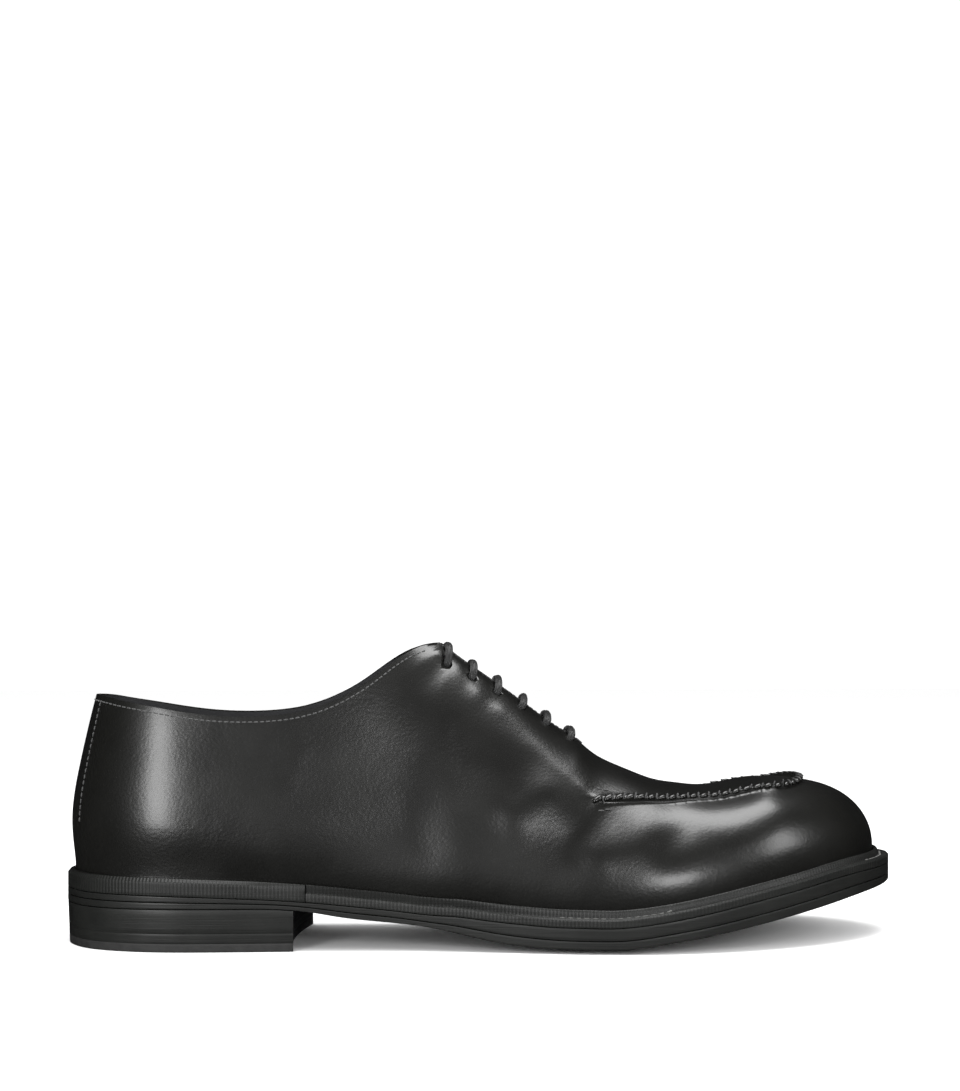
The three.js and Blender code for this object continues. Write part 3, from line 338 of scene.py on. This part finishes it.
def eyelet_places(tree, clear, known=None):
    """Each eyelet's centre and normal, from the skin a little way round its hole."""
    places = []
    for row in range(EYELET_COUNT):
        x = EYELET_START + EYELET_PITCH * row
        for side in (-1, 1):
            y = spine(x) + side * EYELET_SIDE
            for reach in (clear, 2.5, 3.0, 3.5):
                around = [
                    surface_at(tree, x + dx * reach, y + dy * reach)
                    for dx, dy in ((1, 0), (-1, 0), (0, 1), (0, -1))
                ]
                around = [found for found in around if found[0] is not None and found[0].z > 45 * MM]
                if len(around) == 4:
                    break
            if len(around) < 2 and known:
                places.append(known[len(places)])
                continue
            centre = sum((spot for spot, _ in around), Vector()) / len(around)
            normal = sum((way for _, way in around), Vector()).normalized()
            places.append((centre, normal))
    return places


def close_eyelets(piece, places):
    mesh = bmesh.new()
    mesh.from_mesh(piece.data)
    rims = []
    for vertex in mesh.verts:
        for centre, normal in places:
            away = vertex.co - centre
            depth = away.dot(normal)
            if abs(depth) < 6 * MM and (away - normal * depth).length < 2.15 * MM:
                rims.append(vertex)
                break
    bmesh.ops.delete(mesh, geom=rims, context="VERTS")
    bmesh.ops.holes_fill(mesh, edges=[e for e in mesh.edges if e.is_boundary], sides=8)
    mesh.to_mesh(piece.data)
    mesh.free()


# Wear: soft ridges and troughs of the walked-in leather, side -1 outer and 1 inner, in mm
WEAR = [
    {"side": -1, "a": (8, 47), "b": (18, 54), "rise": 1.3, "width": 8},
    {"side": -1, "a": (27, 38), "b": (36, 47), "rise": -0.9, "width": 6.5},
    {"side": -1, "a": (38, 33), "b": (52, 38), "rise": 0.7, "width": 7},
    {"side": -1, "a": (58, 36), "b": (66, 41), "rise": -0.5, "width": 5},
    {"side": -1, "a": (-80, 60), "b": (-73, 74), "rise": -0.12, "width": 3.5},
    {"side": -1, "a": (-74, 56), "b": (-68, 70), "rise": 0.1, "width": 3.5},
    {"side": -1, "a": (-60, 30), "b": (-30, 42), "rise": -0.8, "width": 12},
    {"side": 1, "a": (10, 46), "b": (20, 54), "rise": 1.0, "width": 8},
    {"side": 1, "a": (28, 38), "b": (38, 46), "rise": -0.8, "width": 6.5},
    {"side": 1, "a": (-78, 60), "b": (-72, 74), "rise": -0.15, "width": 4},
]


def wear_in(piece):
    points = points_of(piece)
    normals = np.empty(len(points) * 3)
    piece.data.vertices.foreach_get("normal", normals)
    normals = normals.reshape(-1, 3)
    outward = normals * np.where(inward(points, normals) > 0, -1, 1)[:, None]
    flank = points[:, 1] / MM - np.interp(points[:, 0] / MM, *zip(*SPINE))
    plane = points[:, [0, 2]] / MM
    for mark in WEAR:
        start, end = np.array(mark["a"], float), np.array(mark["b"], float)
        line = end - start
        along = np.clip(((plane - start) @ line) / (line @ line), 0, 1)
        away = np.linalg.norm(plane - start - along[:, None] * line, axis=1)
        fade = np.clip((flank * mark["side"] - 8) / 8, 0, 1)
        push = mark["rise"] * MM * np.exp(-((away / mark["width"]) ** 2)) * fade
        points += outward * push[:, None]
    piece.data.vertices.foreach_set("co", points.ravel())
    piece.data.update()


def punch_eyelets(piece, places):
    cutters = []
    for centre, normal in places:
        bpy.ops.object.select_all(action="DESELECT")
        bpy.ops.mesh.primitive_cylinder_add(
            vertices=20,
            radius=EYELET_RADIUS * MM,
            depth=9 * MM,
            location=centre,
            rotation=UP.rotation_difference(normal).to_euler(),
        )
        cutters.append(bpy.context.object)
    bpy.ops.object.select_all(action="DESELECT")
    for cutter in cutters:
        cutter.select_set(True)
    bpy.context.view_layer.objects.active = cutters[0]
    bpy.ops.object.join()
    punch = bpy.context.object
    apply_modifier(piece, "BOOLEAN", operation="DIFFERENCE", solver="EXACT", object=punch)
    bpy.data.objects.remove(punch)


def make_upper():
    piece = merged_copy("upper", "calf_upper")
    cad_places = eyelet_places(tree_of(piece), 3.0)
    close_eyelets(piece, cad_places)
    to_quads(piece)
    crease_arrises(piece, 50, 0.55)
    round_off(piece, 2)
    wear_in(piece)
    smooth = tree_of(piece)
    places = eyelet_places(smooth, 1.0, cad_places)
    punch_eyelets(piece, places)
    piece.data.materials.append(CALF)
    piece.data.materials.append(LINING)
    faces = piece.data.polygons
    centres = np.array([p.center for p in faces])
    normals = np.array([p.normal for p in faces])
    inside = inward(centres, normals) > 4 * MM
    faces.foreach_set("material_index", inside.astype(np.int32))
    shade(piece, 40)
    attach(piece, "root")
    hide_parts("upper")
    return smooth, places


upper_tree, eyelets = make_upper()


# Tongue and insole


def make_inner_leather(node, name, material):
    piece = merged_copy(node, name)
    to_quads(piece)
    crease_arrises(piece, 50, 0.7)
    round_off(piece, 2)
    piece.data.materials.append(material)
    shade(piece, 40)
    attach(piece, "root")
    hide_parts(node)


make_inner_leather("tongue", "calf_tongue", CALF)
make_inner_leather("insole", "leather_sock", LINING)


# Sole and heel edges


def outline_sides():
    points = points_of(merged := merged_copy("midsole", "outline_probe"))
    bpy.data.objects.remove(merged)
    rim = points[points[:, 2].argsort()]
    back, tip = rim[rim[:, 0].argmin()], rim[rim[:, 0].argmax()]
    side_line = back[1] + (points[:, 0] - back[0]) / (tip[0] - back[0]) * (tip[1] - back[1])
    sides = {}
    for side in (-1, 1):
        chosen = points[(points[:, 1] - side_line) * side >= -1e-6]
        columns = {}
        for x, y, _ in chosen:
            key = round(x / MM, 1)
            columns[key] = max(columns.get(key, -1), abs(y - back[1]))
        xs = np.array(sorted(columns))
        ys = np.array([columns[x] for x in xs]) / MM * side + back[1] / MM
        sides[side] = np.stack([xs, ys], axis=1)
    return sides


OUTLINE = outline_sides()


def follow_edge(piece):
    """Stores how far along the edge each point is from the back of the heel, and its height."""
    points = points_of(piece) / MM
    best = np.full(len(points), 1e9)
    along = np.zeros(len(points))
    for line in OUTLINE.values():
        steps = np.diff(line, axis=0)
        lengths = np.maximum(np.linalg.norm(steps, axis=1), 1e-9)
        starts = np.concatenate([[0], np.cumsum(lengths)])
        for start, step, size, run in zip(line[:-1], steps, lengths, starts):
            share = np.clip(((points[:, :2] - start) @ step) / size**2, 0, 1)
            away = np.linalg.norm(points[:, :2] - start - share[:, None] * step, axis=1)
            nearer = away < best
            best = np.where(nearer, away, best)
            along = np.where(nearer, run + share * size, along)
    for name, values in (("along_edge", along * MM), ("up_edge", points[:, 2] * MM)):
        stored = piece.data.attributes.new(name, "FLOAT", "POINT")
        stored.data.foreach_set("value", values)


def make_edge(node, name, material, arris_mm):
    piece = merged_copy(node, name)
    to_quads(piece)
    crease_arrises(piece, 35, 1)
    round_off(piece, 2)
    apply_modifier(
        piece, "BEVEL", width=arris_mm * MM, segments=2, limit_method="ANGLE", angle_limit=math.radians(35)
    )
    follow_edge(piece)
    piece.data.materials.append(material)
    shade(piece, 30)
    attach(piece, "root")
    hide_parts(node)
    return piece


EDGES = [
    {"node": "outsole", "name": "leather_outsole", "material": EDGE, "slot": "sole_leather", "arris": 0.35},
    {"node": "midsole", "name": "leather_midsole", "material": EDGE, "slot": "sole_leather", "arris": 0.2},
    {"node": "welt", "name": "storm_welt", "material": WELT_LEATHER, "slot": "sole_leather", "arris": 0.2},
    {"node": "heel_rand", "name": "heel_seat_rand", "material": WELT_LEATHER, "slot": "sole_leather", "arris": 0.2},
    {"node": "heel_stack", "name": "stacked_heel", "material": HEEL_EDGE, "slot": "sole_leather", "arris": 0.15},
    {"node": "top_piece", "name": "heel_top_piece", "material": HEEL_EDGE, "slot": "sole_leather", "arris": 0.3},
    {"node": "toplift", "name": "rubber_toplift", "material": RUBBER, "slot": "rubber", "arris": 0.3},
]
edges = {
    row["node"]: make_edge(row["node"], row["name"], row["material"], row["arris"])
    for row in EDGES
}


# Stitches: one is modelled, then set along each seam


def stitch_shape(length, radius):
    bpy.ops.object.select_all(action="DESELECT")
    bpy.ops.mesh.primitive_cylinder_add(
        vertices=6, radius=radius * MM, depth=length * 0.6 * MM, rotation=(0, math.pi / 2, 0)
    )
    shape = bpy.context.object
    bpy.ops.object.transform_apply(location=False, rotation=True, scale=False)
    for end in (-1, 1):
        edit(shape)
        bpy.ops.mesh.select_mode(type="FACE")
        bpy.ops.mesh.select_all(action="DESELECT")
        bpy.ops.object.mode_set(mode="OBJECT")
        for face in shape.data.polygons:
            face.select = face.normal.x * end > 0.9
        bpy.ops.object.mode_set(mode="EDIT")
        bpy.ops.mesh.extrude_region_move(
            TRANSFORM_OT_translate={"value": (end * length * 0.2 * MM, 0, -radius * 0.7 * MM)}
        )
        bpy.ops.transform.resize(value=(0.55, 0.55, 0.55))
        bpy.ops.object.mode_set(mode="OBJECT")
    return shape


def pucker_shape(length, width, height):
    bpy.ops.object.select_all(action="DESELECT")
    bpy.ops.mesh.primitive_uv_sphere_add(segments=12, ring_count=8, radius=0.5 * MM)
    shape = bpy.context.object
    edit(shape)
    bpy.ops.transform.resize(value=(length, width, height))
    bpy.ops.object.mode_set(mode="OBJECT")
    return shape


def set_along(name, shape, places, material):
    """One mesh of a shape repeated at places, each a point, a normal and the way it runs."""
    master = points_of(shape)
    faces = [tuple(p.vertices) for p in shape.data.polygons]
    all_points, all_faces = [], []
    for point, normal, way in places:
        run = (way - normal * way.dot(normal)).normalized()
        turn = Matrix((run, normal.cross(run), normal)).transposed()
        base = len(all_points) * len(master)
        all_points.append(master @ np.array(turn).T + np.array(point))
        all_faces += [tuple(base + i for i in face) for face in faces]
    mesh = bpy.data.meshes.new(name)
    mesh.from_pydata(np.concatenate(all_points).tolist(), [], all_faces)
    piece = bpy.data.objects.new(name, mesh)
    bpy.context.scene.collection.objects.link(piece)
    bpy.data.objects.remove(shape)
    mesh.materials.append(material)
    shade(piece, 60)
    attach(piece, "root")
    return piece


def spaced(points, pitch):
    """Points every pitch millimetres along a line, each with the way that the line runs."""
    points = [Vector(p) for p in points]
    result, carried = [], 0.0
    for a, b in zip(points[:-1], points[1:]):
        size = (b - a).length
        while carried < size and size > 0:
            result.append((a.lerp(b, carried / size), (b - a).normalized()))
            carried += pitch * MM
        carried -= size
    return result


def on_skin(tree, line, lift):
    """Sets points of a line down on a piece's skin, with the skin's normal."""
    places = []
    for point, way in line:
        spot, normal, _, _ = tree.find_nearest(point)
        if spot is not None:
            places.append((spot + normal * lift * MM, normal, way))
    return places


def edge_point(base, way, drop):
    """A point on the outside, drop mm under the top edge, seen from the side way points to."""
    origin = Vector((base[0], base[1], 0)) * MM
    out = Vector((way[0], way[1], 0)).normalized()

    def hit(z):
        start = origin + out * 0.1 + UP * z * MM
        spot, normal, _, _ = upper_tree.ray_cast(start, -out, 0.1 - 3 * MM)
        return spot, normal

    low, high = 45.0, 112.0
    for _ in range(18):
        middle = (low + high) / 2
        if hit(middle)[0] is None:
            high = middle
        else:
            low = middle
    return hit(low - drop)[0]


def collar_line(drop):
    lateral = [((x, spine(max(x, -20))), (0, -1)) for x in np.arange(-24, HEEL_POLE[0], -3.0)]
    round_heel = [
        (HEEL_POLE, (math.cos(a), math.sin(a))) for a in np.radians(np.arange(270, 89, -7.5))
    ]
    medial = [((x, spine(max(x, -20))), (0, 1)) for x in np.arange(HEEL_POLE[0] + 3, -24, 3.0)]
    points = [edge_point(base, way, drop) for base, way in lateral + round_heel + medial]
    return [p for p in points if p is not None]


def slit_half(x):
    return 2.5 * min(1, 0.35 + 0.65 * max(0, 35.1 - x) / 55)


def slit_line(side, aside):
    points = []
    for x in np.arange(-18, 36, 2.0):
        spot, _ = surface_at(upper_tree, x, spine(x) + side * (slit_half(x) + aside))
        if spot is not None:
            points.append(spot)
    return points


def apron_line(aside):
    plan = [(x, spine(x) - half - aside) for x, half in ((x, h - 0) for x, h in APRON_EDGE)]
    left = [(x, APRON_FRONT[1] * 0 + y) for x, y in zip(*apron_side(-1, aside))]
    front = [
        (
            APRON_FRONT[0] + (APRON_REACH + aside) * math.sin(a),
            APRON_FRONT[1] - (APRON_HALF + aside) * math.cos(a),
        )
        for a in np.radians(np.arange(8, 173, 6))
    ]
    right = [(x, y) for x, y in zip(*apron_side(1, aside))][::-1]
    del plan
    points = [surface_at(upper_tree, x, y)[0] for x, y in left + front + right]
    return [p for p in points if p is not None]


def apron_side(side, aside):
    xs = np.arange(37, 100, 2.5)
    halves = np.interp(xs, *zip(*APRON_EDGE))
    return xs, [spine(x) + side * (half + aside) for x, half in zip(xs, halves)]


def outline_plan(inset, start, end):
    """The sole's outline, inset, from one x on the outer side round the toe to the inner."""
    lateral = OUTLINE[-1][(OUTLINE[-1][:, 0] > start)]
    medial = OUTLINE[1][(OUTLINE[1][:, 0] > end)][::-1]
    ring = np.concatenate([lateral, medial])
    ring = ring[np.concatenate([[True], np.linalg.norm(np.diff(ring, axis=0), axis=1) > 2])]
    smooth = ring.copy()
    run = np.gradient(smooth, axis=0)
    run /= np.linalg.norm(run, axis=1)[:, None]
    normal = np.stack([-run[:, 1], run[:, 0]], axis=1)
    return smooth + normal * inset


welt_tree = tree_of(edges["welt"])


def welt_line(inset):
    plan = outline_plan(inset, 5, 20)
    dense = []
    for a, b in zip(plan[:-1], plan[1:]):
        dense += [a + (b - a) * t for t in np.arange(0, 1, 0.25)]
    rim = np.concatenate([OUTLINE[-1], OUTLINE[1]])
    clear = [p for p in dense if np.linalg.norm(rim - p, axis=1).min() > inset * 0.9]
    spots = [surface_at(welt_tree, x, y) for x, y in clear if x < 148]
    return [spot for spot, normal in spots if spot is not None and normal.z > 0.7]


back_seam = [
    edge_point(HEEL_POLE, (-math.cos(math.radians(24)), -math.sin(math.radians(24))), drop)
    for drop in np.arange(3, 46, 2.0)
]
set_along("collar_stitches", stitch_shape(1.7, 0.24), on_skin(upper_tree, spaced(collar_line(2.0), 2.1), 0.08), THREAD)
for side, name in ((-1, "outer_slit_stitches"), (1, "inner_slit_stitches")):
    set_along(name, stitch_shape(1.6, 0.22), on_skin(upper_tree, spaced(slit_line(side, 1.6), 2.0), 0.06), THREAD)
set_along(
    "back_seam_stitches",
    stitch_shape(1.7, 0.22),
    on_skin(upper_tree, spaced([p for p in back_seam if p is not None], 2.2), 0.06),
    THREAD,
)
set_along("welt_stitches", stitch_shape(2.3, 0.4), on_skin(welt_tree, spaced(welt_line(2.8), 2.9), 0.05), PALE_THREAD)


def slanted(places, degrees):
    turn = math.radians(degrees)
    result = []
    for point, normal, way in places:
        run = (way - normal * way.dot(normal)).normalized()
        across = normal.cross(run)
        result.append((point, normal, run * math.cos(turn) + across * math.sin(turn)))
    return result


apron_places = on_skin(upper_tree, spaced(apron_line(1.4), 4.2), -0.25)
set_along("apron_puckers", pucker_shape(4.6, 2.5, 1.9), slanted(apron_places, 24), PUCKER)
thread_places = on_skin(upper_tree, spaced(apron_line(1.5), 4.2)[0:], 0.5)
shifted = [(p + (q - p) * 0.5, n, w) for (p, n, w), (q, _, _) in zip(thread_places[:-1], thread_places[1:])]
set_along("apron_threads", stitch_shape(3.4, 0.32), slanted(shifted, 62), DARK_THREAD)


def bar_tack():
    """Five threads across the foot of the slit."""
    places = []
    for i in range(5):
        x = 33.6 + 0.45 * i
        (left, up_left), (right, up_right) = [
            surface_at(upper_tree, x, spine(x) + side * 2.6) for side in (-1, 1)
        ]
        normal = (up_left + up_right).normalized()
        places.append(((left + right) / 2 + normal * 0.3 * MM, normal, Vector((0, 1, 0))))
    return places


def start_rectangle(side):
    """The small sewn rectangle where the apron's seam begins."""
    places = []
    for x, aside in ((36, -1.5), (36, 1.2), (40.5, 3.0), (38, 3.0), (38, -2.8), (40.5, -2.8)):
        y = spine(x) + side * (float(np.interp(x, *zip(*APRON_EDGE))) + aside)
        spot, normal = surface_at(upper_tree, x, y)
        way = Vector((0, 1, 0)) if x == 36 else Vector((1, 0, 0))
        if spot is not None:
            places.append((spot + normal * 0.1 * MM, normal, way))
    return places


set_along("slit_bar_tack", stitch_shape(4.4, 0.26), bar_tack(), DARK_THREAD)
set_along(
    "apron_start_stitches",
    stitch_shape(2.2, 0.26),
    start_rectangle(-1) + start_rectangle(1),
    THREAD,
)


# Lace


def lace_bar(number, lateral, medial):
    """One straight bar, out of the outer hole, over the slit and down the inner hole."""
    (a, up_a), (b, up_b) = lateral, medial
    radius = 1.45
    rise = radius + 0.25
    lead = (b - a).normalized()
    route = [a - up_a * 3.2 * MM, a - up_a * 1.0 * MM + lead * 0.1 * MM]
    route.append(a + up_a * rise * 0.75 * MM + lead * 0.9 * MM)
    for share in (0.16, 0.28, 0.4, 0.5, 0.6, 0.72, 0.84):
        level = a.lerp(b, share)
        spot, normal = surface_at(upper_tree, level.x / MM, level.y / MM)
        if spot is None or spot.z < level.z - 4 * MM:
            spot, normal = level + UP * 2.2 * MM * (1 - (2 * share - 1) ** 2), UP
        route.append(spot + normal * rise * MM)
    route.append(b + up_b * rise * 0.75 * MM - lead * 0.9 * MM)
    route += [b - up_b * 1.0 * MM - lead * 0.1 * MM, b - up_b * 3.2 * MM]
    return route, radius


def make_lace():
    curve = bpy.data.curves.new("lace_run", "CURVE")
    curve.dimensions = "3D"
    curve.resolution_u = 5
    curve.bevel_resolution = 4
    curve.use_fill_caps = True
    curve.bevel_depth = 1.45 * MM
    for number in range(EYELET_COUNT):
        route, _ = lace_bar(number, eyelets[2 * number], eyelets[2 * number + 1])
        spline = curve.splines.new("NURBS")
        spline.points.add(len(route) - 1)
        for point, spot in zip(spline.points, route):
            point.co = (*spot, 1)
        spline.order_u = 3
        spline.use_endpoint_u = True
    source = bpy.data.objects.new("lace_run", curve)
    bpy.context.scene.collection.objects.link(source)
    bpy.ops.object.select_all(action="DESELECT")
    source.select_set(True)
    bpy.context.view_layer.objects.active = source
    bpy.ops.object.convert(target="MESH")
    lace = bpy.context.object
    lace.name = "waxed_lace"
    if lace.data.uv_layers:
        lace.data.uv_layers[0].name = "around_cord"
    lace.data.materials.clear()
    lace.data.materials.append(CORD)
    shade(lace, 60)
    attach(lace, "root")
    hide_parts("lace")


make_lace()


# Studio


def add_camera():
    data = bpy.data.cameras.new("packshot_camera")
    data.sensor_width = SENSOR
    data.lens = SHOE_SCALE * (CAMERA_DISTANCE / MM) * SENSOR / FRAME_HEIGHT
    data.shift_y = (HORIZON_ROW - FRAME_HEIGHT / 2) / FRAME_HEIGHT
    camera = bpy.data.objects.new("packshot_camera", data)
    bpy.context.scene.collection.objects.link(camera)
    camera.location = (
        CAMERA_ASIDE * math.cos(SHOE_YAW) - CAMERA_DISTANCE * math.sin(SHOE_YAW),
        -CAMERA_ASIDE * math.sin(SHOE_YAW) - CAMERA_DISTANCE * math.cos(SHOE_YAW),
        CAMERA_HEIGHT,
    )
    camera.rotation_euler = (math.radians(90), 0, -SHOE_YAW)
    bpy.context.scene.camera = camera


def add_softbox(row):
    data = bpy.data.lights.new(row["name"], "AREA")
    data.shape = "RECTANGLE"
    data.size, data.size_y = row["size"][0] * MM, row["size"][1] * MM
    data.energy = row["watts"]
    light = bpy.data.objects.new(row["name"], data)
    bpy.context.scene.collection.objects.link(light)
    light.location = Vector(row["at"]) * MM
    toward = Vector(row["to"]) * MM - light.location
    light.rotation_euler = toward.to_track_quat("-Z", "Y").to_euler()
    light.visible_camera = False


SOFTBOXES = [
    {"name": "tall_left_softbox", "at": (-490, -800, 230), "to": (-110, -35, 60), "size": (210, 560), "watts": 4.5},
    {"name": "overhead_softbox", "at": (60, -60, 900), "to": (20, 0, 50), "size": (900, 420), "watts": 9},
    {"name": "front_softbox", "at": (300, -930, 290), "to": (40, -40, 40), "size": (230, 230), "watts": 2.2},
    {"name": "right_softbox", "at": (820, -520, 520), "to": (100, -20, 50), "size": (280, 380), "watts": 2.3},
]


def add_world():
    world = bpy.data.worlds.new("white_cove")
    bpy.context.scene.world = world
    world.use_nodes = True
    tree = world.node_tree
    background = tree.nodes["Background"]
    path = add_node(tree, "LightPath")
    dim = add_node(
        tree,
        "Mix",
        {"data_type": "RGBA", 6: (1.15, 1.15, 1.15, 1), 7: (0.012, 0.012, 0.0125, 1)},
        {0: path.outputs["Is Glossy Ray"]},
    )
    tree.links.new(dim.outputs[2], background.inputs["Color"])


def add_floor():
    bpy.ops.object.select_all(action="DESELECT")
    bpy.ops.mesh.primitive_plane_add(size=6, location=(0, 0, 0))
    floor = bpy.context.object
    floor.name = "white_floor"
    material, tree, shader = new_material("matt_white_paper", Roughness=0.9)
    place = add_node(tree, "TexCoord").outputs["Object"]
    tooth = add_node(tree, "TexNoise", {"Scale": per_metre(3), "Detail": 2.0}, {"Vector": place})
    tint(tree, shader, tooth.outputs["Fac"], "#f6f6f6", "#fafafa")
    floor.data.materials.append(material)
    floor.visible_glossy = False


add_camera()
for softbox in SOFTBOXES:
    add_softbox(softbox)
add_world()
add_floor()
bpy.context.scene.view_settings.view_transform = "Standard"
